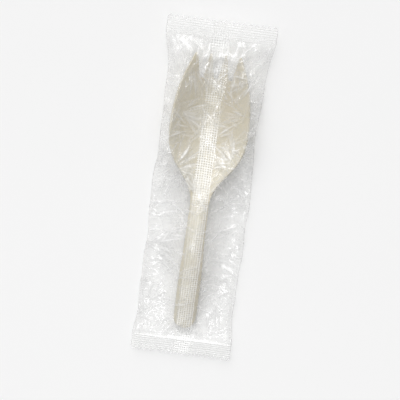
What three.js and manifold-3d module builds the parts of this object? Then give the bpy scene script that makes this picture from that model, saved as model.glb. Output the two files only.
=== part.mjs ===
// A disposable spork sealed in its own clear film wrapper, lying with the bowl up.
// Millimetres, +Z up. The length lies along Y and the tines point along +Y.
// The origin is on the resting surface, under the middle of the wrapper.
import * as THREE from "three";
import { mergeVertices } from "three/addons/utils/BufferGeometryUtils.js";
import Module from "manifold-3d";

const wasm = await Module();
wasm.setup();

// Spork: one thin moulding. Its profiles are pairs of [distance from the tine tips, value].
const SPORK_LENGTH = 148;
const WALL = 1.2;
const HANDLE_END_RADIUS = 5.6;
const HALF_WIDTH = [
  [0, 10.8], [5, 12.9], [11, 15.1], [19, 17.2], [30, 18.7], [39, 19], [47, 18],
  [54, 15], [60, 10.8], [66, 7], [74, 4.6], [88, 4.5], [125, 5.6], [148, 5.6],
];
const CENTRE_HEIGHT = [
  [0, 7.2], [12, 4.9], [25, 2.5], [42, 1.1], [55, 2.7], [65, 5.8], [74, 8.6],
  [90, 10.6], [110, 9.1], [130, 5.4], [148, 1.7],
];
const EDGE_LIFT = [
  [0, 1.6], [12, 3.6], [25, 6], [42, 7.4], [55, 6.2], [65, 2.9], [74, -0.4],
  [82, -1.9], [110, -2], [135, -1.6], [148, -1.1],
];
const END_FLAT = 0.3;
const SPORK_ROWS = 52;
const SPORK_COLUMNS = 12;

// Tines: four of equal length, with round tips, and three gaps with round feet.
const TINES = 4;
const TINE_PITCH = 6.9;
const TIP_RADIUS = 0.5;
const GAP_DEPTH = 12.6;
const GAP_FOOT_RADIUS = 1.1;
const ARC_STEPS = 4;

// Wrapper: a flattened tube of film, welded across both ends and along a fin on its upper side.
// Its profiles are pairs of [place along Y, value].
const PACK_LENGTH = 180;
const FLAT_WIDTH = 54;
const FILM = 0.12;
const SEAL_DEPTH = 9;
const CRIMP_ROWS = 9;
const CRIMP_HEIGHT = 0.2;
const FOLD_HEIGHT = 0.5;
const SLOPE_BULGE = 0.35;
const UNDERSIDE = [
  [-90, 1.6], [-81, 1.2], [-72, 0], [0, 0], [62, 0], [72, 0.9], [81, 2.8], [90, 3.4],
];
const CREST = [
  [-90, 1.9], [-81, 1.5], [-74, 4.2], [-57, 7.3], [-36, 10.8], [-16, 12.1], [0, 10.9],
  [10, 10.2], [32, 9.9], [62, 9.9], [76.5, 9.4], [81, 3.1], [90, 3.7],
];
const CREST_HALF_WIDTH = [
  [-90, 12], [-74, 8], [-30, 7], [-4, 8], [8, 11.5], [20, 19.5], [34, 20.6],
  [54, 18.8], [66, 15.8], [76, 12.8], [82, 14], [90, 14],
];
const SPREAD = [
  [-90, 27], [-81, 27], [-66, 26.2], [0, 25.6], [34, 24.4], [70, 25], [81, 26.6], [90, 27],
];
const FILM_ROWS = 36;
const SLOPE_COLUMNS = 8;

// Plan outlines are cut through from below everything to above it.
const CUT_BOTTOM = -10;
const CUT_TOP = 30;

// Cut ends: a saw-tooth line. Vent: a pin prick in the underside that lets trapped air out.
const CUT_WASTE = 0.8;
const TOOTH_PITCH = 3;
const TOOTH_DEPTH = 1.4;
const VENT_RADIUS = 0.6;
const VENT_SIDES = 8;
const VENT_X = 15;
const VENT_Y = -50;

// Fin: the lengthways weld, a flat double strip folded over onto the film.
const FIN_WIDTH = 8.4;
const FIN_THICKNESS = 0.24;
const FIN_SHARE = 0.16;
const FIN_FLANK = 0.003;

// The value of a smooth curve through [place, value] pairs, level at each inner peak and trough.
function along(profile, place) {
  const last = profile.length - 1;
  const at = Math.min(Math.max(place, profile[0][0]), profile[last][0]);
  const slope = (i) => {
    const before = profile[Math.max(i - 1, 0)];
    const after = profile[Math.min(i + 1, last)];
    const turns = (after[1] - profile[i][1]) * (profile[i][1] - before[1]) <= 0;
    if (turns && i > 0 && i < last) return 0;
    return (after[1] - before[1]) / (after[0] - before[0]);
  };
  let i = 0;
  while (i < last - 1 && at > profile[i + 1][0]) i += 1;
  const span = profile[i + 1][0] - profile[i][0];
  const t = (at - profile[i][0]) / span;
  const ease = t * t * (3 - 2 * t);
  const leave = t * (1 - t) * (1 - t) * span * slope(i);
  const arrive = t * t * (t - 1) * span * slope(i + 1);
  return profile[i][1] * (1 - ease) + profile[i + 1][1] * ease + leave + arrive;
}

// The closed solid between two sheets, each a grid of points over the same rows and columns.
function slab(rows, columns, upper, lower) {
  const wide = columns.length;
  const last = wide - 1;
  const sheet = rows.length * wide;
  const corners = [];
  for (const place of [upper, lower])
    for (const row of rows)
      for (const side of columns) corners.push(...place(row, side));
  const faces = [];
  const quad = (a, b, c, d) => faces.push(a, b, c, a, c, d);
  for (let r = 0; r < rows.length - 1; r += 1) {
    for (let c = 0; c < last; c += 1) {
      const a = r * wide + c;
      quad(a, a + 1, a + 1 + wide, a + wide);
      quad(sheet + a + wide, sheet + a + 1 + wide, sheet + a + 1, sheet + a);
    }
    const left = r * wide;
    const right = left + last;
    quad(left, left + wide, sheet + left + wide, sheet + left);
    quad(right + wide, right, sheet + right, sheet + right + wide);
  }
  for (let c = 0; c < last; c += 1) {
    const far = (rows.length - 1) * wide + c;
    quad(c + 1, c, sheet + c, sheet + c + 1);
    quad(far, far + 1, sheet + far + 1, sheet + far);
  }
  return solid(new Float32Array(corners), new Uint32Array(faces));
}

function solid(vertProperties, triVerts) {
  return new wasm.Manifold(new wasm.Mesh({ numProp: 3, vertProperties, triVerts }));
}

// A plan outline drawn straight up from one height to another.
function prism(shape, bottom, top) {
  const geometry = new THREE.ExtrudeGeometry(shape, {
    depth: top - bottom,
    bevelEnabled: false,
    curveSegments: ARC_STEPS,
  });
  geometry.translate(0, 0, bottom);
  geometry.deleteAttribute("normal");
  geometry.deleteAttribute("uv");
  const merged = mergeVertices(geometry, 1e-4);
  return solid(merged.attributes.position.array, new Uint32Array(merged.index.array));
}

function evenly(from, to, count) {
  return Array.from({ length: count + 1 }, (_, i) => from + ((to - from) * i) / count);
}

function meshOf(name, body, material) {
  const made = body.getMesh();
  const geometry = new THREE.BufferGeometry();
  geometry.setAttribute("position", new THREE.BufferAttribute(made.vertProperties, 3));
  geometry.setIndex(new THREE.BufferAttribute(made.triVerts, 1));
  geometry.computeVertexNormals();
  const mesh = new THREE.Mesh(geometry, material);
  mesh.name = name;
  return mesh;
}

// Half the spork's width, closing to a round end on the handle.
function sporkHalfWidth(fromTips) {
  const intoEnd = fromTips - (SPORK_LENGTH - HANDLE_END_RADIUS);
  const width = along(HALF_WIDTH, fromTips);
  if (intoEnd <= 0) return width;
  const round = Math.sqrt(Math.max(HANDLE_END_RADIUS ** 2 - intoEnd ** 2, 0));
  return Math.min(width, Math.max(round, TIP_RADIUS));
}

// A point of the spork's wall: side -1 to 1 across, face +1 above or -1 below.
function sporkPoint(y, side, face) {
  const fromTips = SPORK_LENGTH / 2 - y;
  const half = sporkHalfWidth(fromTips);
  const full = along(HALF_WIDTH, fromTips);
  const lift = along(EDGE_LIFT, fromTips);
  const x = half * side;
  const across = x / full;
  const slope = (2 * lift * across) / full;
  const reach = (face * WALL) / 2 / Math.hypot(1, slope);
  const z = along(CENTRE_HEIGHT, fromTips) + lift * across * across;
  return [x - slope * reach, y, z + reach];
}

// Everything behind the tine tips, with the three gaps left out.
function tineComb() {
  const tipLine = SPORK_LENGTH / 2;
  const shape = new THREE.Shape();
  shape.moveTo(-FLAT_WIDTH, -PACK_LENGTH);
  shape.lineTo(-FLAT_WIDTH, tipLine - TIP_RADIUS);
  for (let tine = 0; tine < TINES; tine += 1) {
    const x = (tine - (TINES - 1) / 2) * TINE_PITCH;
    shape.absarc(x, tipLine - TIP_RADIUS, TIP_RADIUS, Math.PI, 0, true);
    if (tine === TINES - 1) break;
    const foot = tipLine - GAP_DEPTH + GAP_FOOT_RADIUS;
    shape.absarc(x + TINE_PITCH / 2, foot, GAP_FOOT_RADIUS, Math.PI, 2 * Math.PI, false);
  }
  shape.lineTo(FLAT_WIDTH, tipLine - TIP_RADIUS);
  shape.lineTo(FLAT_WIDTH, -PACK_LENGTH);
  return prism(shape, CUT_BOTTOM, CUT_TOP);
}

function makeSpork() {
  const rows = evenly(-SPORK_LENGTH / 2 + END_FLAT, SPORK_LENGTH / 2, SPORK_ROWS);
  const columns = evenly(-1, 1, SPORK_COLUMNS);
  const upper = (y, side) => sporkPoint(y, side, 1);
  const lower = (y, side) => sporkPoint(y, side, -1);
  return slab(rows, columns, upper, lower).intersect(tineComb());
}

// Height of the film's upper side above its underside: a level crest, then a slope to the fold.
function filmRise(y, x) {
  const crestHalf = along(CREST_HALF_WIDTH, y);
  const spread = along(SPREAD, y);
  const rise = along(CREST, y) - along(UNDERSIDE, y);
  const fold = Math.min(FOLD_HEIGHT, rise);
  const down = Math.min(Math.max((Math.abs(x) - crestHalf) / (spread - crestHalf), 0), 1);
  return fold + (rise - fold) * (1 - down) * (1 + SLOPE_BULGE * down);
}

// The wrapper's crimps: ridges across each end weld.
function crimp(y) {
  const into = Math.abs(y) - (PACK_LENGTH / 2 - SEAL_DEPTH);
  if (into <= 0) return 0;
  const row = Math.round((into / SEAL_DEPTH) * CRIMP_ROWS);
  return row % 2 ? CRIMP_HEIGHT : 0;
}

// Place across the film: the fin keeps its width and the rest shares what is left.
function filmX(y, side) {
  const half = FIN_WIDTH / 2;
  const out = Math.abs(side);
  if (out <= FIN_SHARE) return (half * side) / FIN_SHARE;
  const rest = along(SPREAD, y) - half;
  return Math.sign(side) * (half + (rest * (out - FIN_SHARE)) / (1 - FIN_SHARE));
}

// The wrapper's outer skin, with the fin as a raised band along the middle of its upper side.
function skinBelow(y, side) {
  return [filmX(y, side), y, along(UNDERSIDE, y) + crimp(y)];
}

function skinAbove(y, side) {
  const [x, , base] = skinBelow(y, side);
  const fin = Math.abs(side) <= FIN_SHARE ? FIN_THICKNESS : 0;
  return [x, y, base + filmRise(y, x) + fin];
}

// The space inside the wrapper, one film thickness in from the skin.
function hollowBelow(y, side) {
  return [filmX(y, side) - Math.sign(side) * FILM, y, along(UNDERSIDE, y) + FILM];
}

function hollowAbove(y, side) {
  const x = filmX(y, side);
  return [x - Math.sign(side) * FILM, y, along(UNDERSIDE, y) + filmRise(y, x) - FILM];
}

// The plan between the two saw-tooth cuts.
function cutEnds() {
  const half = PACK_LENGTH / 2;
  const teeth = Math.ceil(FLAT_WIDTH / TOOTH_PITCH) + 2;
  const shape = new THREE.Shape();
  const width = teeth * TOOTH_PITCH;
  shape.moveTo(-width / 2, -half);
  for (let i = 0; i < teeth; i += 1) {
    const x = -width / 2 + i * TOOTH_PITCH;
    shape.lineTo(x + TOOTH_PITCH / 2, -half + TOOTH_DEPTH);
    shape.lineTo(x + TOOTH_PITCH, -half);
  }
  for (let i = 0; i < teeth; i += 1) {
    const x = width / 2 - i * TOOTH_PITCH;
    shape.lineTo(x, half);
    shape.lineTo(x - TOOTH_PITCH / 2, half - TOOTH_DEPTH);
  }
  shape.lineTo(-width / 2, half);
  return prism(shape, CUT_BOTTOM, CUT_TOP);
}

function vent() {
  const shape = new THREE.Shape();
  for (let i = 0; i < VENT_SIDES; i += 1) {
    const turn = (2 * Math.PI * i) / VENT_SIDES;
    const x = VENT_X + VENT_RADIUS * Math.cos(turn);
    const y = VENT_Y + VENT_RADIUS * Math.sin(turn);
    if (i === 0) shape.moveTo(x, y);
    else shape.lineTo(x, y);
  }
  return prism(shape, -1, 2 * FILM);
}

function makeWrapper() {
  const half = PACK_LENGTH / 2;
  const mouth = half - SEAL_DEPTH;
  const body = evenly(-mouth, mouth, FILM_ROWS);
  const near = evenly(-half, -mouth, CRIMP_ROWS).slice(0, -1);
  const far = evenly(mouth, half, CRIMP_ROWS).slice(1);
  const rows = [-half - CUT_WASTE, ...near, ...body, ...far, half + CUT_WASTE];
  const slope = evenly(FIN_SHARE + FIN_FLANK, 1, SLOPE_COLUMNS);
  const edges = [FIN_SHARE, ...slope];
  const columns = [...edges.map((side) => -side).reverse(), ...edges];
  const inner = [...slope.map((side) => -side).reverse(), ...slope];
  const skin = slab(rows, columns, skinAbove, skinBelow);
  const hollow = slab(body, inner, hollowAbove, hollowBelow);
  return skin.subtract(hollow).subtract(vent()).intersect(cutEnds());
}

const moulded = new THREE.MeshStandardMaterial({ color: 0xdcd8ce, roughness: 0.42, metalness: 0 });
const clearFilm = new THREE.MeshStandardMaterial({
  color: 0xf2f5f5,
  roughness: 0.14,
  metalness: 0,
  transparent: true,
  opacity: 0.3,
});

const pack = new THREE.Group();
pack.add(meshOf("spork", makeSpork(), moulded));
pack.add(meshOf("film_wrapper", makeWrapper(), clearFilm));

export default pack;
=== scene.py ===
"""A disposable spork in its own clear film wrapper, laid out as an add-on for Blender 4.5.

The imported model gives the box. One operator makes the spork, one the wrapper's film with its
lengthways fin, and one the stage with its lights and camera. Profiles are in millimetres, and
everything in Blender is in metres, with the tines along +Y and the bowl facing +Z.
"""

import math

import bmesh
import bpy
import numpy as np
from bpy.props import FloatProperty, FloatVectorProperty, IntProperty, PointerProperty
from mathutils import Matrix, Vector
from mathutils.bvhtree import BVHTree
from mathutils.geometry import delaunay_2d_cdt


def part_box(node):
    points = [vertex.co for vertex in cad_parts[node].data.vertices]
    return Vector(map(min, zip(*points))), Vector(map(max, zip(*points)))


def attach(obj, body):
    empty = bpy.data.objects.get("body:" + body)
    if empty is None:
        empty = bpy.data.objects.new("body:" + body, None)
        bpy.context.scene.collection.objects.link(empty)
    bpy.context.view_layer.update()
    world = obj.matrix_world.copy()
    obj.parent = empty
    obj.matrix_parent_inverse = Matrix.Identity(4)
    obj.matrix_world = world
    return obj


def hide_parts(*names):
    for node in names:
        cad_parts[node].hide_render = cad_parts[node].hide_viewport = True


bl_info = {
    "name": "Wrapped Spork",
    "version": (1, 0, 0),
    "blender": (4, 5, 0),
    "location": "View3D > Sidebar > Spork",
    "description": "Makes a moulded spork sealed in a crinkled clear film wrapper",
    "category": "Object",
}

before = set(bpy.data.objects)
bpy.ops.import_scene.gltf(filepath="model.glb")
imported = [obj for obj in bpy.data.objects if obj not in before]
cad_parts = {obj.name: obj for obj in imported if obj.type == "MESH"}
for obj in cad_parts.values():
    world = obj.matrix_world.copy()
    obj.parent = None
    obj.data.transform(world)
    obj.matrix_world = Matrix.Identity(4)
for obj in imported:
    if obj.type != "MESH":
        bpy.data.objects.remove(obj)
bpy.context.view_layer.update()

MM = 0.001

# The spork's profiles: pairs of [distance from the tine tips, value].
SPORK_LENGTH = 148
HANDLE_END_RADIUS = 5.6
HALF_WIDTH = [
    [0, 10.8], [5, 12.9], [11, 15.1], [19, 17.2], [30, 18.7], [39, 19], [47, 18],
    [54, 15], [60, 10.8], [66, 7], [74, 4.6], [88, 4.5], [125, 5.6], [148, 5.6],
]
CENTRE_HEIGHT = [
    [0, 7.2], [12, 4.9], [25, 2.5], [42, 1.1], [55, 2.7], [65, 5.8], [74, 8.6],
    [90, 10.6], [110, 9.1], [130, 5.4], [148, 1.7],
]
EDGE_LIFT = [
    [0, 1.6], [12, 3.6], [25, 6], [42, 7.4], [55, 6.2], [65, 2.9], [74, -0.4],
    [82, -1.9], [110, -2], [135, -1.6], [148, -1.1],
]
TINES = 4
TINE_PITCH = 6.9
TIP_RADIUS = 0.5
GAP_DEPTH = 12.6
GAP_FOOT_RADIUS = 1.1

# The spork's mesh: columns for each tine, rows along the tines and the wall, and the angles of the
# rows round the tips, the feet of the gaps and the handle's end.
TINE_COLUMNS = 6
TINE_ROWS = 9
WALL_ROWS = 84
TIP_ANGLES = [35, 55, 75]
FOOT_ANGLES = [20, 40, 58, 75, 90]
END_ANGLES = [12, 24, 36, 48, 60, 72, 82]
RIM_ROUNDING = 0.3
RIM_ANGLE = 50

# The wrapper's profiles: pairs of [place along Y, value]. Its welds begin at its mouths.
PACK_LENGTH = 180
FLAT_WIDTH = 54
SEAL_DEPTH = 9
MOUTH = PACK_LENGTH / 2 - SEAL_DEPTH
UNDERSIDE = [
    [-90, 1.6], [-81, 1.2], [-72, 0], [0, 0], [62, 0], [72, 0.9], [81, 2.8], [90, 3.4],
]
CREST = [
    [-90, 1.9], [-81, 1.5], [-74, 4.2], [-57, 7.3], [-36, 10.8], [-16, 12.1], [0, 10.9],
    [10, 10.2], [32, 9.9], [62, 9.9], [76.5, 9.4], [81, 3.1], [90, 3.7],
]
CREST_HALF_WIDTH = [
    [-90, 12], [-74, 8], [-30, 7], [-4, 8], [8, 11.5], [20, 19.5], [34, 20.6],
    [54, 18.8], [66, 15.8], [76, 12.8], [82, 14], [90, 14],
]
SPREAD = [
    [-90, 27], [-81, 27], [-66, 26.2], [0, 25.6], [34, 24.4], [70, 25], [81, 26.6], [90, 27],
]
FOLD_HEIGHT = 0.5
SLOPE_BULGE = 0.35

# The folded sides: how far from a weld they come free, how much they wander, how far inside the
# spread they stay, and how far the spork pulls them in.
FREE_REACH = 12
SIDE_WANDER = 0.8
SIDE_MARGIN = 0.4
SIDE_PULL = 0.5

# The upper and lower film's mesh.
FILM_COLUMNS = 108
BODY_ROWS = 324
SEAL_ROWS = 45

# The end welds: their saw-tooth cut, their crimps, the gap between the film's two sides, how much
# the cut edge wanders up and down, and how softly the weld's finish begins.
TOOTH_PITCH = 3
TOOTH_DEPTH = 1.4
CRIMP_PITCH = 1.2
CRIMP_HEIGHT = 0.09
SEAL_GAP = 0.1
SEAL_WANDER = 0.45
WELD_BLUR = 0.2

# The fin. Its mesh steps are a quarter of the knurl's pitch. It is seated on the film's columns
# near the middle, with its seat eased over a few rows.
FIN_WIDTH = 8.4
FIN_THICKNESS = 0.08
FIN_COLUMNS = 28
FIN_ROWS = 596
FIN_INSET = 0.15
FIN_LIFT = 0.18
FIN_CURL = 0.25
FIN_SWAY = 0.25
FIN_CALM = 0.55
KNURL_HEIGHT = 0.035
SEAT_COLUMNS = 11
SEAT_EASE = 4

# Crumpled facets: spacing, how far they stretch lengthways, and slant.
BIG_FACETS = [9, 1.5, 0.35]
SMALL_FACETS = [4.6, 1.4, -0.4]
UNDER_FACETS = [8, 1.6, 0]

# Shares of the big facets, small facets and creases in the upper film's relief, and the height of
# the facets and creases in the underside.
RELIEF_SHARES = [0.75, 0.34, 0.45]
UNDER_RELIEF = 0.35
UNDER_PINCH = 0.2

# Single creases: how many, how far out they start, their lengths, widths and usual bend, and
# how near a weld they turn lengthways. Round the bowl they point away from its middle.
UPPER_CREASES = 240
UNDER_CREASES = 70
CREASE_REACH = 26
CREASE_LENGTHS = (5, 20)
CREASE_WIDTHS = (0.6, 1.4)
CREASE_BEND = 0.012
WELD_PLEATS = 16
BOWL_MIDDLE = 32

# Where creases fan out: X, Y, the way the fan faces and its half angle in degrees, and how many.
FANS = [
    [-18, 16, 30, 50, 11], [17, 22, 150, 45, 9], [-13, 70, -60, 40, 9], [12, 71, -115, 40, 9],
    [-19, 44, 0, 35, 7], [20, 46, 180, 30, 7], [0, 3, 90, 60, 9], [-26, -30, 10, 45, 7],
    [26, -48, 175, 45, 7], [-24, -66, 40, 40, 7], [24, 66, 200, 40, 7],
]

# The fans' crease lengths, and how far out their wedges of painted sheen are full and then fade.
FAN_LENGTHS = (9, 24)
WEDGE_ROOT = 4
WEDGE_FADE = (9, 21)

# Gaps kept between the film and the spork, between the film's two sides, and over the floor.
SPORK_CLEARANCE = 0.3
FILM_CLEARANCE = 0.12
FLOOR_CLEARANCE = 0.01

# The drape is simulated ten times larger, where the cloth solver's distances suit it.
DRAPE_SCALE = 10
DRAPE_COLUMNS = 54
DRAPE_ROWS = 162
EASING_PASSES = 4
CLOTH = {
    "quality": 8,
    "mass": 0.15,
    "air_damping": 2,
    "tension_stiffness": 40,
    "compression_stiffness": 40,
    "shear_stiffness": 20,
}
CLOTH_CONTACT = {
    "use_collision": True,
    "distance_min": 0.004,
    "collision_quality": 3,
    "use_self_collision": False,
}
SPORK_CONTACT = {"thickness_outer": 0.004, "thickness_inner": 0.02}
GROUND_CONTACT = {"thickness_outer": 0.002}
GROUND_SIZE = 4
GROUND_HEIGHT = 0.002

# How much the painted sheen of facets and fan wedges, fine mist, creases, steep edges and hairlines
# add to the film's haze.
FACET_SHEEN_SHARE = 0.28
MIST_SHARE = 0.03
CREASE_SHARE = 0.62
EDGE_SHARE = 0.5
HAIR_SHARE = 0.16

# Colours that the settings don't hold.
WARM_TINT = (0.97, 0.93, 0.87)
FILM_CLEAR = (0.99, 0.99, 0.988, 1)
FILM_WHITE = (0.97, 0.97, 0.968, 1)
# Painted shade: the grey base colour of the fin's knurl dents stands in for their shadow.
FIN_DENT_SHADE = (0.4, 0.4, 0.39, 1)

# The key light: the way it comes from, the angle it spans in degrees, and watts a square metre.
KEY_LIGHT = [(-0.4, 1.52, 1.2), 54, 2.65]

# Softboxes: name, place, width and height in metres, and watts. Each faces the pack's middle.
SOFTBOXES = [
    ["overhead_softbox", (0.1, -0.28, 1.45), 0.32, 0.28, 2.5],
    ["handle_softbox", (-0.15, -0.78, 1.25), 0.28, 0.2, 1.7],
    ["left_strip", (-1.1, 0.1, 0.8), 0.1, 0.8, 1.7],
    ["right_strip", (0.9, 0.5, 1.1), 0.1, 0.8, 1.7],
]
FLOOR_SIZE = 24
FLOOR_DROP = 0.0001
FLOOR_MOTTLE = 0.985


def along(profile, places):
    """Values of a smooth curve through [place, value] pairs, level at each inner peak and trough."""
    x = np.array([p[0] for p in profile], float)
    y = np.array([p[1] for p in profile], float)
    before = np.concatenate([[0], np.diff(y)])
    after = np.concatenate([np.diff(y), [0]])
    low, high = np.maximum(np.arange(len(x)) - 1, 0), np.minimum(np.arange(len(x)) + 1, len(x) - 1)
    slope = (y[high] - y[low]) / (x[high] - x[low])
    inner = (np.arange(len(x)) > 0) & (np.arange(len(x)) < len(x) - 1)
    slope[inner & (before * after <= 0)] = 0
    at = np.clip(np.asarray(places, float), x[0], x[-1])
    i = np.clip(np.searchsorted(x, at, side="left") - 1, 0, len(x) - 2)
    span = x[i + 1] - x[i]
    t = (at - x[i]) / span
    ease = t * t * (3 - 2 * t)
    leave = t * (1 - t) * (1 - t) * span * slope[i]
    arrive = t * t * (t - 1) * span * slope[i + 1]
    return y[i] * (1 - ease) + y[i + 1] * ease + leave + arrive


def smooth_step(low, high, value):
    """0 below low, 1 above high, and smooth between."""
    t = np.clip((value - low) / (high - low), 0, 1)
    return t * t * (3 - 2 * t)


def set_all(target, values):
    """Sets named attributes, in order."""
    for name, value in values.items():
        setattr(target, name, value)


def new_piece(name, bm, smooth=True):
    """Turns a bmesh into a linked object at the origin."""
    mesh = bpy.data.meshes.new(name)
    bm.to_mesh(mesh)
    bm.free()
    piece = bpy.data.objects.new(name, mesh)
    bpy.context.scene.collection.objects.link(piece)
    if smooth:
        mesh.polygons.foreach_set("use_smooth", [True] * len(mesh.polygons))
    return piece


def add_modifier(piece, kind, **settings):
    """Adds a modifier with its settings."""
    modifier = piece.modifiers.new(kind.title(), kind)
    set_all(modifier, settings)
    return modifier


def evaluated_mesh(piece):
    """A copy of a piece's mesh with its modifiers applied."""
    graph = bpy.context.evaluated_depsgraph_get()
    return bpy.data.meshes.new_from_object(piece.evaluated_get(graph), depsgraph=graph)


def apply_modifiers(piece):
    """Replaces a piece's mesh with its evaluated one, and drops the modifiers."""
    old = piece.data
    name = old.name
    piece.data = evaluated_mesh(piece)
    piece.modifiers.clear()
    bpy.data.meshes.remove(old)
    piece.data.name = name


def points_of(mesh):
    """The places of a mesh's vertices."""
    co = np.zeros(len(mesh.vertices) * 3, np.float32)
    mesh.vertices.foreach_get("co", co)
    return co.reshape(-1, 3).astype(float)


def grid_places(verts, columns, rows):
    """Column and row numbers of the vertices of a fresh two by two grid."""
    co = np.array([v.co for v in verts])
    across = np.rint((co[:, 0] + 1) / 2 * columns).astype(int)
    up = np.rint((co[:, 1] + 1) / 2 * rows).astype(int)
    return across, up


# ---------------------------------------------------------------- shader maths


class Link:
    """A shader socket that adds Math nodes when it meets an operator."""

    def __init__(self, tree, socket):
        self.tree = tree
        self.socket = socket

    def node(self, kind, settings=None, **inputs):
        """Adds a node: settings first, then each input by name or by in_NUMBER."""
        made = self.tree.nodes.new(kind)
        set_all(made, settings or {})
        for key, value in inputs.items():
            place = int(key[3:]) if key.startswith("in_") else key.replace("_", " ")
            socket = made.inputs[place]
            if isinstance(value, Link):
                self.tree.links.new(value.socket, socket)
            else:
                socket.default_value = value
        return made

    def out(self, made, name=0):
        """One output of a node."""
        return Link(self.tree, made.outputs[name])

    def maths(self, operation, *values, clamp=False):
        """A Math node on numbers or sockets."""
        settings = {"operation": operation, "use_clamp": clamp}
        inputs = {f"in_{i}": v for i, v in enumerate(values)}
        return self.out(self.node("ShaderNodeMath", settings, **inputs))

    def __add__(self, other):
        return self.maths("ADD", self, other)

    def __radd__(self, other):
        return self.maths("ADD", other, self)

    def __sub__(self, other):
        return self.maths("SUBTRACT", self, other)

    def __rsub__(self, other):
        return self.maths("SUBTRACT", other, self)

    def __mul__(self, other):
        return self.maths("MULTIPLY", self, other)

    def __rmul__(self, other):
        return self.maths("MULTIPLY", other, self)

    def sine(self):
        return self.maths("SINE", self)

    def clamped(self):
        return self.maths("ADD", self, 0.0, clamp=True)

    def band(self, low, high):
        """0 below low, 1 above high, and smooth between."""
        made = self.node(
            "ShaderNodeMapRange",
            {"interpolation_type": "SMOOTHSTEP"},
            Value=self,
            From_Min=low,
            From_Max=high,
        )
        return self.out(made, "Result")


def new_material(name):
    """An empty node material, with a Link to build from."""
    material = bpy.data.materials.new(name)
    material.use_nodes = True
    material.node_tree.nodes.clear()
    return material, Link(material.node_tree, None)


def object_place(link):
    """Object coordinates, in metres."""
    return link.out(link.node("ShaderNodeTexCoord"), "Object")


def noise(link, place, scale, detail=2.0, roughness=0.5, stretch=(1, 1, 1)):
    """Noise between 0 and 1 at a place, with scale in cells a metre."""
    mapped = link.out(link.node("ShaderNodeMapping", None, Vector=place, Scale=stretch))
    made = link.node(
        "ShaderNodeTexNoise", None, Vector=mapped, Scale=scale, Detail=detail, Roughness=roughness
    )
    return link.out(made, "Fac")


def mix_colours(link, factor, first, second):
    """The first colour where the factor is 0, and the second where it is 1."""
    made = link.node("ShaderNodeMix", {"data_type": "RGBA"}, in_0=factor, in_6=first, in_7=second)
    return link.out(made, 2)


def bumped(link, height, strength, distance):
    """A normal tipped by a height."""
    made = link.node("ShaderNodeBump", None, Height=height, Strength=strength, Distance=distance)
    return link.out(made, "Normal")


def finish_material(link, shader):
    """Puts a shader on the material's surface."""
    link.node("ShaderNodeOutputMaterial", None, Surface=shader)


def moulded_material(settings):
    """Satin off-white plastic with faint flow clouds, some of them warmer."""
    material, link = new_material("moulded_plastic")
    place = object_place(link)
    clouds = noise(link, place, scale=55, detail=3, roughness=0.55, stretch=(1, 0.35, 1))
    grain = noise(link, place, scale=2600, roughness=0.6)
    pale = tuple(settings.plastic) + (1,)
    warm = tuple(c * tint for c, tint in zip(settings.plastic, WARM_TINT)) + (1,)
    colour = mix_colours(link, clouds.band(0.3, 0.75), pale, warm)
    roughness = 0.34 + clouds * 0.1 + grain * 0.05
    flow = noise(link, place, scale=240, stretch=(1, 0.2, 1))
    normal = bumped(link, grain * 0.25 + flow, strength=0.25, distance=0.00008)
    shader = link.node(
        "ShaderNodeBsdfPrincipled",
        None,
        Base_Color=colour,
        Roughness=roughness,
        Normal=normal,
        IOR=1.49,
        Subsurface_Weight=0.12,
        Subsurface_Radius=(0.004, 0.0036, 0.003),
        Subsurface_Scale=0.6,
    )
    finish_material(link, link.out(shader, "BSDF"))
    return material


def film_shader(link, solid, colour, normal, roughness, ior, coat):
    """Clear film: mostly what is behind it, and a share of bright gloss."""
    see_through = link.node("ShaderNodeBsdfTransparent", None, Color=FILM_CLEAR)
    gloss = link.node(
        "ShaderNodeBsdfPrincipled",
        None,
        Base_Color=colour,
        Roughness=roughness,
        Normal=normal,
        IOR=ior,
        Coat_Weight=coat,
        Coat_Roughness=0.11,
        Coat_IOR=1.65,
    )
    mixed = link.node(
        "ShaderNodeMixShader",
        None,
        in_0=solid,
        in_1=link.out(see_through),
        in_2=link.out(gloss, "BSDF"),
    )
    finish_material(link, link.out(mixed))


def hairlines(link, place):
    """A net of fine straight creases, 1 on each line and 0 between."""
    wander = link.node("ShaderNodeTexNoise", None, Vector=place, Scale=60.0)
    tangle = link.out(wander, "Color")
    shift = link.node("ShaderNodeVectorMath", {"operation": "SCALE"}, in_0=tangle, in_3=0.006)
    moved = link.node("ShaderNodeVectorMath", {"operation": "ADD"}, in_0=place, in_1=link.out(shift))
    mapped = link.node("ShaderNodeMapping", None, Vector=link.out(moved), Scale=(1, 0.6, 1))
    cells = link.node(
        "ShaderNodeTexVoronoi",
        {"feature": "DISTANCE_TO_EDGE"},
        Vector=link.out(mapped),
        Scale=110.0,
        Randomness=1.0,
    )
    return 1 - link.out(cells, "Distance").band(0.0, 0.035)


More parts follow.
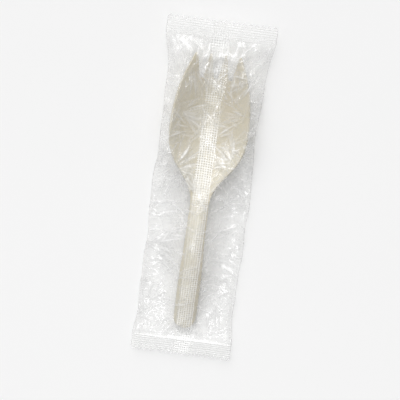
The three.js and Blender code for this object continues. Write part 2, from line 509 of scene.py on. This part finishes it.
def film_material(settings):
    """The wrapper's clear film, hazy along creases and across the end welds."""
    material, link = new_material("clear_film")
    place = object_place(link)
    y = link.out(link.node("ShaderNodeSeparateXYZ", None, Vector=place), "Y")
    mouth, blur = MOUTH * MM, WELD_BLUR * MM
    weld = link.maths("ABSOLUTE", y).band(mouth - blur, mouth + blur)
    crease = link.out(link.node("ShaderNodeAttribute", {"attribute_name": "crease"}), "Fac")
    facing = link.out(link.node("ShaderNodeLayerWeight", None, Blend=0.3), "Facing")
    # The facet sheen attribute is painted sheen: random whiteness on facets and in fan wedges,
    # standing in for the soft sheen of tilted facets.
    facet_sheen = link.out(link.node("ShaderNodeAttribute", {"attribute_name": "facet_sheen"}), "Fac")
    clouds = noise(link, place, scale=85, detail=4, roughness=0.55)
    haze = settings.haze + facet_sheen * FACET_SHEEN_SHARE + clouds.band(0.46, 0.7) * MIST_SHARE
    crimps = (y * (2 * math.pi / (CRIMP_PITCH * MM))).sine()
    pressed = weld * (0.1 + crimps.band(-0.2, 0.8) * 0.16)
    fine = noise(link, place, scale=420, detail=1, stretch=(1, 0.6, 1))
    hair = hairlines(link, place) * clouds.band(0.35, 0.6) * (1 - weld)
    edges = facing * facing * facing * EDGE_SHARE
    solid = haze + crease * CREASE_SHARE + pressed + edges + hair * HAIR_SHARE
    relief = fine * 0.14 + hair * 0.4 + crimps * weld * 0.5
    normal = bumped(link, relief, strength=0.3, distance=0.0002)
    roughness = 0.13 + clouds * 0.1 + weld * 0.12
    film_shader(link, solid.clamped(), FILM_WHITE, normal, roughness, ior=1.95, coat=0.7)
    return material


def fin_material(settings):
    """The fin: two layers of film pressed together by a knurled wheel, in a fine square grid, with a
    painted shade of grey in the grid's dents.
    """
    material, link = new_material("knurled_fin")
    place = object_place(link)
    made = link.node("ShaderNodeSeparateXYZ", None, Vector=place)
    turn = 2 * math.pi / settings.knurl_pitch
    across = (link.out(made, "X") * turn).sine()
    up = (link.out(made, "Y") * turn).sine()
    grid = link.maths("MAXIMUM", across, up).band(0.3, 0.6)
    patches = noise(link, place, scale=48).band(0.42, 0.58)
    facing = link.out(link.node("ShaderNodeLayerWeight", None, Blend=0.3), "Facing")
    lines = grid * (0.08 + patches * 0.14)
    solid = settings.haze + 0.05 + patches * 0.08 + lines + facing * facing * 0.2
    normal = bumped(link, grid, strength=0.3, distance=0.00006)
    roughness = 0.45 + grid * 0.1
    # The dents between the grid's lines take the grey of painted shade.
    colour = mix_colours(link, grid, FIN_DENT_SHADE, FILM_WHITE)
    film_shader(link, solid.clamped(), colour, normal, roughness, ior=1.5, coat=0.1)
    return material


# ---------------------------------------------------------------- spork


def spork_half_width(from_tips):
    """Half the spork's width, closing to a round end on the handle."""
    into_end = from_tips - (SPORK_LENGTH - HANDLE_END_RADIUS)
    width = float(along(HALF_WIDTH, from_tips))
    if into_end <= 0:
        return width
    return min(width, math.sqrt(max(HANDLE_END_RADIUS**2 - into_end**2, 0.5)))


def gap_half_width(from_tips):
    """Half the gap between two tines: a round foot, then straight sides that open to the tips."""
    foot = GAP_DEPTH - GAP_FOOT_RADIUS
    if from_tips >= GAP_DEPTH:
        return 0.0
    if from_tips >= foot:
        return math.sqrt(max(GAP_FOOT_RADIUS**2 - (from_tips - foot) ** 2, 0))
    mouth = TINE_PITCH / 2 - TIP_RADIUS
    share = (foot - from_tips) / (foot - TIP_RADIUS)
    return GAP_FOOT_RADIUS + (mouth - GAP_FOOT_RADIUS) * min(share, 1)


def tine_edges(tine, from_tips):
    """Left and right edge of one tine, or of its strip of the bowl and handle behind it."""
    half = spork_half_width(from_tips)
    gap = gap_half_width(from_tips)
    spread = TINE_PITCH if from_tips < GAP_DEPTH else half * TINE_PITCH / spork_half_width(GAP_DEPTH)
    lines = (-half, -spread, 0, spread, half)
    left = lines[tine] + (gap if tine > 0 else 0)
    right = lines[tine + 1] - (gap if tine < TINES - 1 else 0)
    if from_tips < TIP_RADIUS:
        centre = (tine - (TINES - 1) / 2) * TINE_PITCH
        round_off = math.sqrt(max(TIP_RADIUS**2 - (TIP_RADIUS - from_tips) ** 2, 0))
        left, right = max(left, centre - round_off), min(right, centre + round_off)
    return left, right


def spork_height(x, from_tips):
    """Height of the middle of the wall."""
    across = x / float(along(HALF_WIDTH, from_tips))
    return float(along(CENTRE_HEIGHT, from_tips)) + float(along(EDGE_LIFT, from_tips)) * across**2


def spork_rows():
    """Distances from the tips, close together on the tips, gap feet and handle end."""
    tips = [TIP_RADIUS * (1 - math.cos(math.radians(angle))) for angle in TIP_ANGLES]
    foot = GAP_DEPTH - GAP_FOOT_RADIUS
    tines = list(np.linspace(TIP_RADIUS, foot, TINE_ROWS))
    feet = [foot + GAP_FOOT_RADIUS * math.sin(math.radians(angle)) for angle in FOOT_ANGLES]
    end = SPORK_LENGTH - HANDLE_END_RADIUS
    wall = list(np.linspace(GAP_DEPTH, end, WALL_ROWS))[1:]
    close = [end + HANDLE_END_RADIUS * math.sin(math.radians(angle)) for angle in END_ANGLES]
    return tips + tines + feet + wall + close


def make_spork(settings):
    """A thin sheet of strips, one behind each tine, thickened and rounded along its rim."""
    bm = bmesh.new()
    rows = spork_rows()
    last = len(rows) - 1
    for tine in range(TINES):
        made = bmesh.ops.create_grid(bm, x_segments=TINE_COLUMNS, y_segments=last, size=1)
        across, up = grid_places(made["verts"], TINE_COLUMNS, last)
        for vert, column, row in zip(made["verts"], across, up):
            from_tips = rows[last - row]
            left, right = tine_edges(tine, from_tips)
            x = left + (right - left) * column / TINE_COLUMNS
            y = SPORK_LENGTH / 2 - from_tips
            vert.co = Vector((x, y, spork_height(x, from_tips))) * MM
    bmesh.ops.remove_doubles(bm, verts=bm.verts, dist=0.00001)
    bmesh.ops.recalc_face_normals(bm, faces=bm.faces)
    spork = new_piece("spork_moulding", bm)
    wall = settings.wall
    add_modifier(spork, "SOLIDIFY", thickness=wall, offset=0, use_even_offset=True)
    rim = {"width": wall * RIM_ROUNDING, "segments": 2, "limit_method": "ANGLE"}
    add_modifier(spork, "BEVEL", angle_limit=math.radians(RIM_ANGLE), **rim)
    add_modifier(spork, "SUBSURF", levels=1, render_levels=1)
    apply_modifiers(spork)
    spork.data.polygons.foreach_set("use_smooth", [True] * len(spork.data.polygons))
    return spork


# ---------------------------------------------------------------- film


def film_rise(y, x):
    """Height of the film's upper side over its underside: a level crest, then a slope to the fold."""
    crest = along(CREST_HALF_WIDTH, y)
    spread = along(SPREAD, y)
    rise = along(CREST, y) - along(UNDERSIDE, y)
    fold = np.minimum(FOLD_HEIGHT, rise)
    down = np.clip((np.abs(x) - crest) / (spread - crest), 0, 1)
    return fold + (rise - fold) * (1 - down) * (1 + SLOPE_BULGE * down)


def ripple(places, seed, *lengths):
    """A smooth wandering line between about -1 and 1, made of waves of these lengths."""
    turns = np.random.default_rng(seed).uniform(0, 2 * np.pi, len(lengths))
    waves = [np.sin(2 * np.pi * places / length + turn) for length, turn in zip(lengths, turns)]
    return sum(waves) / len(lengths)


def tent_points(columns, rows):
    """The upper film before it drapes, in millimetres: rows by columns by XYZ."""
    y = np.linspace(-MOUTH, MOUTH, rows + 1)[:, None]
    side = np.linspace(-1, 1, columns + 1)[None, :]
    free = smooth_step(0, FREE_REACH, MOUTH - np.abs(y))
    left = ripple(y, 3, 71, 43, 22) * SIDE_WANDER * free
    right = ripple(y, 8, 83, 47, 26) * SIDE_WANDER * free
    wander = np.where(side < 0, left, right) * np.abs(side)
    spread = along(SPREAD, y) - SIDE_MARGIN + wander - SIDE_PULL * free
    x = spread * side
    z = along(UNDERSIDE, y) + film_rise(y, x)
    y = np.broadcast_to(y, x.shape)
    return np.stack([x, y, z], axis=2)


def drape(settings, spork):
    """The upper film after it has fallen on the spork, in millimetres, from a cloth simulation."""
    start = tent_points(DRAPE_COLUMNS, DRAPE_ROWS)
    big = DRAPE_SCALE * MM
    bm = bmesh.new()
    made = bmesh.ops.create_grid(bm, x_segments=DRAPE_COLUMNS, y_segments=DRAPE_ROWS, size=1)
    across, up = grid_places(made["verts"], DRAPE_COLUMNS, DRAPE_ROWS)
    for vert, column, row in zip(made["verts"], across, up):
        x, y, z = start[row, column]
        vert.co = Vector((x, y, z + settings.drop / MM)) * big
    sheet = new_piece("drape_sheet", bm)
    order = np.zeros((DRAPE_ROWS + 1, DRAPE_COLUMNS + 1), int)
    order[up, across] = np.arange(len(across))
    rim = np.concatenate([order[0], order[-1], order[:, 0], order[:, -1]])
    pins = sheet.vertex_groups.new(name="pins")
    pins.add([int(i) for i in rim], 1.0, "REPLACE")
    cloth = add_modifier(sheet, "CLOTH")
    set_all(cloth.settings, CLOTH)
    cloth.settings.bending_stiffness = settings.film_bending
    cloth.settings.vertex_group_mass = "pins"
    cloth.settings.shrink_min = -settings.film_slack
    cloth.settings.shrink_max = -settings.film_slack
    set_all(cloth.collision_settings, CLOTH_CONTACT)
    solid = bpy.data.objects.new("drape_spork", spork.data.copy())
    solid.data.transform(Matrix.Scale(DRAPE_SCALE, 4))
    bpy.context.scene.collection.objects.link(solid)
    add_modifier(solid, "COLLISION")
    set_all(solid.collision, SPORK_CONTACT)
    ground = make_ground_plane("drape_ground", GROUND_SIZE, GROUND_HEIGHT)
    add_modifier(ground, "COLLISION")
    set_all(ground.collision, GROUND_CONTACT)
    scene = bpy.context.scene
    for number in range(1, settings.drape_frames + 1):
        scene.frame_set(number)
    fallen = points_of(evaluated_mesh(sheet)) / big
    for helper in (sheet, solid, ground):
        bpy.data.objects.remove(helper)
    scene.frame_set(1)
    return fallen[order]


def make_ground_plane(name, size, height):
    """A level square centred on the origin."""
    bm = bmesh.new()
    bmesh.ops.create_grid(bm, x_segments=1, y_segments=1, size=size / 2)
    bmesh.ops.translate(bm, verts=bm.verts, vec=(0, 0, height))
    return new_piece(name, bm, smooth=False)


def resample(points, rows, columns):
    """The same surface with other numbers of rows and columns, by smooth interpolation."""
    for axis, count in ((0, rows), (1, columns)):
        have = points.shape[axis] - 1
        at = np.linspace(0, have, count + 1)
        i = np.clip(at.astype(int), 0, have - 1)
        shape = [1, 1, 1]
        shape[axis] = -1
        t = (at - i).reshape(shape)
        places = [np.clip(i + step, 0, have) for step in (-1, 0, 1, 2)]
        a, b, c, d = (np.take(points, place, axis=axis) for place in places)
        points = b + 0.5 * t * (c - a + t * (2 * a - 5 * b + 4 * c - d + t * (3 * (b - c) + d - a)))
    return points


def eased_lengthways(points, passes):
    """Takes the sharpest tucks out of the drape, and leaves both ends where they are."""
    for _ in range(passes):
        points[1:-1] = (points[:-2] + 2 * points[1:-1] + points[2:]) / 4
    return points


def crumple_facets(across, up, facets, seed):
    """Flat facets between points of random height: a relief of about -1 to 1, and a number from
    0 to 1 that is the same all over each facet."""
    spacing, stretch, slant = facets
    across = across + slant * up
    random = np.random.default_rng(seed)
    low_x, high_x = across.min() - 2 * spacing, across.max() + 2 * spacing
    low_y, high_y = up.min() - 2 * spacing, up.max() + 2 * spacing
    xs = np.arange(low_x, high_x, spacing)
    ys = np.arange(low_y, high_y, spacing * stretch)
    grid = np.stack(np.meshgrid(xs, ys), axis=2).reshape(-1, 2)
    grid += random.uniform(-0.48, 0.48, grid.shape) * (spacing, spacing * stretch)
    flat, _, faces, *_ = delaunay_2d_cdt([Vector(p) for p in grid], [], [], 0, 1e-6)
    heights = random.uniform(-1, 1, len(flat))
    tree = BVHTree.FromPolygons([(p.x, p.y, h) for p, h in zip(flat, heights)], faces)
    down = Vector((0, 0, -1))
    hits = [tree.ray_cast(Vector((x, y, 5)), down) for x, y in zip(across.ravel(), up.ravel())]
    relief = np.array([0.0 if hit[0] is None else hit[0].z for hit in hits])
    tones = random.uniform(0, 1, len(faces))
    tone = np.array([0.0 if hit[2] is None else tones[hit[2]] for hit in hits])
    return relief.reshape(across.shape), tone.reshape(across.shape)


def surface_normals(points):
    """Unit normals of a grid of points."""
    along_rows = np.gradient(points, axis=0)
    along_columns = np.gradient(points, axis=1)
    normal = np.cross(along_columns, along_rows)
    return normal / np.maximum(np.linalg.norm(normal, axis=2, keepdims=True), 1e-9)


def creases_of(relief):
    """How sharply a relief bends at each point, from 0 to about 1."""
    bend = np.abs(np.gradient(np.gradient(relief, axis=0), axis=0))
    bend += np.abs(np.gradient(np.gradient(relief, axis=1), axis=1))
    return np.clip(bend / np.percentile(bend, 98), 0, 1)


def scattered_creases(random, count):
    """Places, angles and lengths of single creases: lengthways near the welds, outward round the
    bowl, and mostly crossways beside the handle."""
    for _ in range(count):
        x, y = random.uniform(-CREASE_REACH, CREASE_REACH), random.uniform(-MOUTH, MOUTH)
        if MOUTH - abs(y) < WELD_PLEATS:
            angle = math.radians(90 + random.normal(0, 16))
        elif y > 0:
            angle = math.atan2(y - BOWL_MIDDLE, x) + random.normal(0, 0.5)
        else:
            angle = random.normal(0, 0.6)
        yield x, y, angle, random.uniform(*CREASE_LENGTHS)


def fanned_creases(random, fans):
    """Places, angles and lengths of creases that spread from where the film is held."""
    for x, y, facing, spread, count in fans:
        for turn in np.linspace(-spread, spread, count):
            angle = math.radians(facing + turn + random.normal(0, 4))
            length = random.uniform(*FAN_LENGTHS)
            out = length / 2 + random.uniform(0, 3)
            yield x + out * math.cos(angle), y + out * math.sin(angle), angle, length


def fan_wedges(across, up, fans, random):
    """Wedges of painted sheen that spread from where the film is held, from 0 to 1: random whiteness
    in each wedge that stands in for the soft sheen of the film's facets.
    """
    facet_sheen = np.zeros(across.shape)
    for x, y, facing, spread, count in fans:
        distance = np.hypot(across - x, up - y)
        turn = (np.degrees(np.arctan2(up - y, across - x)) - facing + 180) % 360 - 180
        edges = np.linspace(-spread, spread, count) + random.uniform(-3, 3, count)
        levels = np.concatenate([[0], random.uniform(0, 1, count - 1) ** 1.5, [0]])
        wedge = levels[np.searchsorted(np.sort(edges), turn)]
        reach = smooth_step(0, WEDGE_ROOT, distance) * (1 - smooth_step(*WEDGE_FADE, distance))
        facet_sheen = np.maximum(facet_sheen, wedge * reach)
    return facet_sheen


def pinched_creases(across, up, lines, random):
    """Sharp ridges along crease lines, as a relief and as marks from 0 to 1."""
    relief = np.zeros(across.shape)
    marks = np.zeros(across.shape)
    for x, y, angle, length in lines:
        bend = random.normal(0, CREASE_BEND)
        forward = (across - x) * math.cos(angle) + (up - y) * math.sin(angle)
        beside = (up - y) * math.cos(angle) - (across - x) * math.sin(angle) - bend * forward**2
        taper = np.clip(1 - (2 * forward / length) ** 2, 0, 1)
        width = random.uniform(*CREASE_WIDTHS)
        ridge = np.clip(1 - np.abs(beside) / width, 0, 1) * taper
        relief += ridge * random.choice([-1, 1]) * random.uniform(0.4, 1)
        marks = np.maximum(marks, ridge**2 * random.uniform(0.3, 1))
    return relief, marks


def crinkled(points, settings, seed, calm):
    """Film with crumple facets and pinched creases pushed along its normals, and their marks.

    calm is 1 where the film is taut. The marks are how white the creases are, and a painted sheen
    between them: random whiteness on facets and in fan wedges that stands in for the soft sheen of
    tilted facets.
    """
    columns = np.linspace(-FLAT_WIDTH / 2, FLAT_WIDTH / 2, points.shape[1])[None, :]
    rows = np.linspace(-MOUTH, MOUTH, points.shape[0])[:, None]
    across, up = np.broadcast_arrays(columns, rows)
    big, big_tone = crumple_facets(across, up, BIG_FACETS, seed)
    small, small_tone = crumple_facets(across, up, SMALL_FACETS, seed + 1)
    random = np.random.default_rng(seed + 2)
    lines = [*scattered_creases(random, UPPER_CREASES), *fanned_creases(random, FANS)]
    pinches, marks = pinched_creases(across, up, lines, random)
    big_share, small_share, pinch_share = RELIEF_SHARES
    relief = big_share * big + small_share * small + pinch_share * pinches
    free = np.clip(1 - calm, 0, 1)
    edge = np.minimum((FLAT_WIDTH / 2 - np.abs(columns)) / 3, (MOUTH - np.abs(rows)) / 5)
    relief = relief * free * np.clip(edge, 0, 1) * settings.crinkle / MM
    moved = points + surface_normals(points) * relief[:, :, None]
    marks = np.maximum(0.4 * creases_of(0.5 * small + 0.4 * big), marks)
    # Painted sheen: random whiteness on each facet and in each fan wedge.
    tone = 0.6 * big_tone**2 + 0.4 * small_tone**3
    facet_sheen = np.maximum(tone, fan_wedges(across, up, FANS, random))
    return moved, np.stack([marks, facet_sheen], axis=2)


def kept_clear(points, spork_tree, gap):
    """Moves film points that come too near the spork's upper side away from it."""
    clear = points.copy()
    for index in np.ndindex(points.shape[:2]):
        place = Vector(points[index]) * MM
        found, normal, _, distance = spork_tree.find_nearest(place, 0.004)
        if found is None:
            continue
        inside = (place - found).dot(normal) < 0
        if inside or distance < gap * MM:
            clear[index] = np.array(found + normal * gap * MM) / MM
    return clear


def seal_points(mouth_row, end):
    """The weld beyond one mouth: crimped rows from the mouth out to the saw-tooth cut."""
    side = np.arange(FILM_COLUMNS + 1)
    period = FILM_COLUMNS * TOOTH_PITCH / FLAT_WIDTH
    tooth = np.abs(((side / period) % 1) - 0.5) * 2 * TOOTH_DEPTH
    mouth_crest = float(along(CREST, end * MOUTH))
    rows = []
    for depth in np.linspace(0, SEAL_DEPTH, SEAL_ROWS + 1)[1:]:
        share = depth / SEAL_DEPTH
        row = mouth_row.copy()
        cut = tooth * smooth_step(0.6, 1, share)
        row[:, 1] = end * (MOUTH + depth - cut)
        wave = ripple(row[:, 0], 21 if end > 0 else 22, 41, 23)
        crimp = CRIMP_HEIGHT * math.sin(2 * math.pi * depth / CRIMP_PITCH)
        flat = mouth_row[:, 2] + (float(along(CREST, end * (MOUTH + depth))) - mouth_crest)
        row[:, 2] = flat + crimp + SEAL_WANDER * wave * share
        rows.append(row)
    return np.array(rows)


def welds(upper):
    """The weld beyond each mouth, with rows in order along +Y."""
    near = seal_points(upper[0], -1)[::-1]
    far = seal_points(upper[-1], 1)
    return near, far


def upper_film(settings, spork):
    """The upper side of the wrapper between its welds, in millimetres, and its marks."""
    fallen = eased_lengthways(drape(settings, spork), EASING_PASSES)
    fine = resample(fallen, BODY_ROWS, FILM_COLUMNS)
    tree = BVHTree.FromPolygons(
        [v.co for v in spork.data.vertices], [tuple(p.vertices) for p in spork.data.polygons]
    )
    fin = 1 - smooth_step(FIN_WIDTH / 2, FIN_WIDTH / 2 + 3, np.abs(fine[:, :, 0]))
    crinkles, marks = crinkled(fine, settings, 5, FIN_CALM * fin)
    return kept_clear(crinkles, tree, SPORK_CLEARANCE), marks


def lower_film(upper):
    """The underside and its marks: crumpled, on the floor, and meeting the upper side at the folds."""
    side = np.linspace(-1, 1, upper.shape[1])[None, :]
    left, right = upper[:, :1], upper[:, -1:]
    share = (side[:, :, None] + 1) / 2
    lower = left * (1 - share) + right * share
    across, up = lower[:, :, 0], lower[:, :, 1]
    in_from_fold = smooth_step(0, 0.09, 1 - np.abs(side))
    level = lower[:, :, 2] * (1 - in_from_fold) + along(UNDERSIDE, up) * in_from_fold
    relief, tone = crumple_facets(across, up, UNDER_FACETS, 31)
    relief = 0.5 + 0.5 * relief
    random = np.random.default_rng(33)
    lines = scattered_creases(random, UNDER_CREASES)
    pinches, marks = pinched_creases(across, up, lines, random)
    free = in_from_fold * smooth_step(0, 4, MOUTH - np.abs(up))
    level += (UNDER_RELIEF * relief + UNDER_PINCH * np.abs(pinches)) * free
    room = upper[:, :, 2] - FILM_CLEARANCE
    level = np.where(in_from_fold > 0.5, np.minimum(level, room), level)
    lower[:, :, 2] = np.maximum(level, FLOOR_CLEARANCE)
    marks = np.maximum(0.3 * creases_of(relief), 0.6 * marks)
    # The second mark is painted sheen: random whiteness on the underside's facets.
    return lower, np.stack([marks, 0.2 * tone**2], axis=2)


def make_film(settings, spork):
    """The tube of film with both ends welded, as one closed skin, and its upper side's points."""
    upper, upper_marks = upper_film(settings, spork)
    lower, lower_marks = lower_film(upper)
    bm = bmesh.new()
    crease_layer = bm.verts.layers.float.new("crease")
    # The second layer holds the painted facet sheen.
    facet_sheen_layer = bm.verts.layers.float.new("facet_sheen")
    rows = BODY_ROWS + 2 * SEAL_ROWS
    half_gap = SEAL_GAP / 2
    for sheet, sheet_marks, lift in ((upper, upper_marks, half_gap), (lower, lower_marks, -half_gap)):
        near, far = welds(upper)
        near[1:, 1:-1, 2] += lift
        far[:-1, 1:-1, 2] += lift
        unmarked = np.zeros(near.shape[:2] + (2,))
        points = np.concatenate([near, sheet, far])
        marks = np.concatenate([unmarked, sheet_marks, unmarked])
        made = bmesh.ops.create_grid(bm, x_segments=FILM_COLUMNS, y_segments=rows, size=1)
        across, up = grid_places(made["verts"], FILM_COLUMNS, rows)
        for vert, column, row in zip(made["verts"], across, up):
            vert.co = Vector(points[row, column]) * MM
            vert[crease_layer], vert[facet_sheen_layer] = marks[row, column]
    bmesh.ops.remove_doubles(bm, verts=bm.verts, dist=0.000002)
    bmesh.ops.recalc_face_normals(bm, faces=bm.faces)
    return new_piece("wrapper_film", bm), upper


def fin_seat(film, places, y):
    """Heights of the film under the fin, row by row, with small dips bridged."""
    middle = range(FILM_COLUMNS // 2 - SEAT_COLUMNS, FILM_COLUMNS // 2 + SEAT_COLUMNS + 1)
    lines_x = np.array([np.interp(y, film[:, c, 1], film[:, c, 0]) for c in middle])
    lines_z = np.array([np.interp(y, film[:, c, 1], film[:, c, 2]) for c in middle])
    under = np.array([np.interp(places, lines_x[:, r], lines_z[:, r]) for r in range(len(y))])
    kernel = np.hanning(2 * SEAT_EASE + 1)
    kernel = kernel / kernel.sum()
    padded = [np.pad(line, SEAT_EASE, mode="edge") for line in under.T]
    eased = np.array([np.convolve(line, kernel, "valid") for line in padded]).T
    return np.maximum(under, eased)


def make_fin(settings, upper):
    """The lengthways weld: a thin doubled strip folded flat over the upper film."""
    near, far = welds(upper)
    film = np.concatenate([near, upper, far])
    middle = film[:, FILM_COLUMNS // 2, 1]
    y = np.linspace(middle[0] + FIN_INSET, middle[-1] - FIN_INSET, FIN_ROWS + 1)
    places = np.linspace(-FIN_WIDTH / 2, FIN_WIDTH / 2, FIN_COLUMNS + 1)
    seat = fin_seat(film, places, y)
    inside = smooth_step(0, 6, MOUTH - np.abs(y))
    curl = (FIN_CURL + FIN_CURL * ripple(y, 12, 29, 13)) * inside
    sway = FIN_SWAY * ripple(y, 14, 60, 33) * inside
    turn = 2 * math.pi * MM / settings.knurl_pitch
    bm = bmesh.new()
    made = bmesh.ops.create_grid(bm, x_segments=FIN_COLUMNS, y_segments=FIN_ROWS, size=1)
    across, up = grid_places(made["verts"], FIN_COLUMNS, FIN_ROWS)
    for vert, column, row in zip(made["verts"], across, up):
        knurl = KNURL_HEIGHT * max(math.sin(places[column] * turn), math.sin(y[row] * turn))
        lift = FIN_LIFT + knurl + curl[row] * (column / FIN_COLUMNS) ** 2
        vert.co = Vector((places[column] + sway[row], y[row], seat[row, column] + lift)) * MM
    bmesh.ops.recalc_face_normals(bm, faces=bm.faces)
    fin = new_piece("wrapper_fin", bm)
    fin.visible_shadow = False
    add_modifier(fin, "SOLIDIFY", thickness=FIN_THICKNESS * MM, offset=0)
    apply_modifiers(fin)
    return fin


# ---------------------------------------------------------------- stage


def floor_material(settings):
    """Matt white paper, with a trace of mottling."""
    material, link = new_material("white_paper")
    place = object_place(link)
    clouds = noise(link, place, scale=14)
    pale = tuple(settings.floor_colour) + (1,)
    dim = tuple(c * FLOOR_MOTTLE for c in settings.floor_colour) + (1,)
    colour = mix_colours(link, clouds, pale, dim)
    roughness = 0.7 + clouds * 0.1
    shader = link.node("ShaderNodeBsdfPrincipled", None, Base_Color=colour, Roughness=roughness)
    finish_material(link, link.out(shader, "BSDF"))
    return material


def add_light(lamp, place):
    """Hangs a light at a place, facing the pack's middle."""
    light = bpy.data.objects.new(lamp.name, lamp)
    light.location = place
    light.rotation_euler = (-Vector(place)).to_track_quat("-Z", "Y").to_euler()
    bpy.context.scene.collection.objects.link(light)


def add_softbox(name, place, width, height, power):
    """A rectangular light near the pack."""
    lamp = bpy.data.lights.new(name, "AREA")
    set_all(lamp, {"shape": "RECTANGLE", "size": width, "size_y": height, "energy": power})
    add_light(lamp, place)


def add_key_light(place, angle, strength):
    """A far, broad light that reaches the whole floor evenly."""
    lamp = bpy.data.lights.new("key_light", "SUN")
    set_all(lamp, {"angle": math.radians(angle), "energy": strength})
    add_light(lamp, place)


def add_world(strength):
    """Even white light from all round."""
    world = bpy.data.worlds.new("studio")
    world.use_nodes = True
    background = world.node_tree.nodes["Background"]
    background.inputs["Color"].default_value = (1, 1, 1, 1)
    background.inputs["Strength"].default_value = strength
    bpy.context.scene.world = world


def add_camera(settings):
    """Looks down on the pack with its tines at the top, the pack leaning a little to the right."""
    low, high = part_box("film_wrapper")
    centre = (low + high) / 2
    tip, lean = settings.camera_tip, settings.camera_lean
    data = bpy.data.cameras.new("camera")
    data.lens = settings.lens
    camera = bpy.data.objects.new("camera", data)
    away = Vector((0, math.sin(tip), math.cos(tip)))
    camera.location = centre + away * settings.camera_distance
    up = Vector((-math.sin(lean), math.cos(lean), 0))
    up = (up - away * up.dot(away)).normalized()
    side = up.cross(away)
    camera.rotation_euler = Matrix((side, up, away)).transposed().to_euler()
    bpy.context.scene.collection.objects.link(camera)
    bpy.context.scene.camera = camera


# ---------------------------------------------------------------- add-on


class SporkSettings(bpy.types.PropertyGroup):
    wall: FloatProperty(
        name="Wall",
        description="Thickness of the moulding",
        default=0.0012,
        unit="LENGTH",
    )
    plastic: FloatVectorProperty(
        name="Plastic",
        description="Colour of the moulding",
        default=(0.632, 0.598, 0.497),
        subtype="COLOR",
    )


class WrapperSettings(bpy.types.PropertyGroup):
    haze: FloatProperty(
        name="Haze",
        description="How solid the clear film looks away from creases",
        default=0.025,
        subtype="FACTOR",
    )
    crinkle: FloatProperty(
        name="Crinkle",
        description="Height of the film's crumples",
        default=0.0005,
        unit="LENGTH",
    )
    drop: FloatProperty(
        name="Drop",
        description="How far the film starts above the spork",
        default=0.001,
        unit="LENGTH",
    )
    film_slack: FloatProperty(
        name="Slack",
        description="Spare film in the drape, as a share of its size",
        default=0.03,
        subtype="FACTOR",
    )
    film_bending: FloatProperty(
        name="Bending",
        description="Bending stiffness of the film in the drape",
        default=2.0,
    )
    drape_frames: IntProperty(
        name="Frames",
        description="Length of the drape",
        default=45,
        subtype="TIME",
    )
    knurl_pitch: FloatProperty(
        name="Knurl",
        description="Pitch of the fin's square grid",
        default=0.0012,
        unit="LENGTH",
    )


class StageSettings(bpy.types.PropertyGroup):
    floor_colour: FloatVectorProperty(
        name="Floor",
        description="Colour of the floor",
        default=(0.9, 0.9, 0.9),
        subtype="COLOR",
    )
    ambient: FloatProperty(
        name="Ambient",
        description="Strength of the even light from all round",
        default=0.23,
    )
    lens: FloatProperty(
        name="Lens",
        description="Focal length of the camera",
        default=85,
        unit="CAMERA",
    )
    camera_distance: FloatProperty(
        name="Distance",
        description="Distance from the camera to the pack",
        default=0.472,
        unit="LENGTH",
    )
    camera_tip: FloatProperty(
        name="Tip",
        description="How far the camera tips towards the tines",
        default=math.radians(20),
        subtype="ANGLE",
    )
    camera_lean: FloatProperty(
        name="Lean",
        description="How far the pack leans in the view",
        default=math.radians(7),
        subtype="ANGLE",
    )


class SPORK_OT_moulding(bpy.types.Operator):
    """Make the moulded spork in place of its plain solid"""

    bl_idname = "spork.moulding"
    bl_label = "Make Spork"

    def execute(self, context):
        settings = context.scene.spork_settings
        spork = make_spork(settings)
        spork.data.materials.append(moulded_material(settings))
        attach(spork, "root")
        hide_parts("spork")
        return {"FINISHED"}


class SPORK_OT_wrapper(bpy.types.Operator):
    """Drape and weld the film wrapper with its fin round the spork"""

    bl_idname = "spork.wrapper"
    bl_label = "Make Wrapper"

    def execute(self, context):
        settings = context.scene.wrapper_settings
        film, upper = make_film(settings, bpy.data.objects["spork_moulding"])
        film.data.materials.append(film_material(settings))
        fin = make_fin(settings, upper)
        fin.data.materials.append(fin_material(settings))
        for piece in (film, fin):
            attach(piece, "root")
            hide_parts("film_wrapper")
        return {"FINISHED"}


class SPORK_OT_stage(bpy.types.Operator):
    """Add the floor, soft lights and camera"""

    bl_idname = "spork.stage"
    bl_label = "Make Stage"

    def execute(self, context):
        settings = context.scene.stage_settings
        floor = make_ground_plane("floor", FLOOR_SIZE, -FLOOR_DROP)
        floor.data.materials.append(floor_material(settings))
        add_world(settings.ambient)
        add_key_light(*KEY_LIGHT)
        for softbox in SOFTBOXES:
            add_softbox(*softbox)
        add_camera(settings)
        context.scene.view_settings.view_transform = "Standard"
        return {"FINISHED"}


class SPORK_PT_panel(bpy.types.Panel):
    """Lists the pieces that can be made"""

    bl_label = "Wrapped Spork"
    bl_space_type = "VIEW_3D"
    bl_region_type = "UI"
    bl_category = "Spork"

    def draw(self, context):
        for operator in OPERATORS:
            self.layout.operator(operator.bl_idname)


GROUPS = (
    (SporkSettings, "spork_settings"),
    (WrapperSettings, "wrapper_settings"),
    (StageSettings, "stage_settings"),
)
OPERATORS = (SPORK_OT_moulding, SPORK_OT_wrapper, SPORK_OT_stage)


def register():
    """Adds the settings, operators and panel."""
    for group, name in GROUPS:
        bpy.utils.register_class(group)
        setattr(bpy.types.Scene, name, PointerProperty(type=group))
    for operator in OPERATORS:
        bpy.utils.register_class(operator)
    bpy.utils.register_class(SPORK_PT_panel)


def unregister():
    """Takes the panel, operators and settings away."""
    bpy.utils.unregister_class(SPORK_PT_panel)
    for operator in reversed(OPERATORS):
        bpy.utils.unregister_class(operator)
    for group, name in reversed(GROUPS):
        delattr(bpy.types.Scene, name)
        bpy.utils.unregister_class(group)


def main():
    """Makes every piece in order."""
    register()
    bpy.ops.spork.moulding()
    bpy.ops.spork.wrapper()
    bpy.ops.spork.stage()


if __name__ == "__main__":
    main()
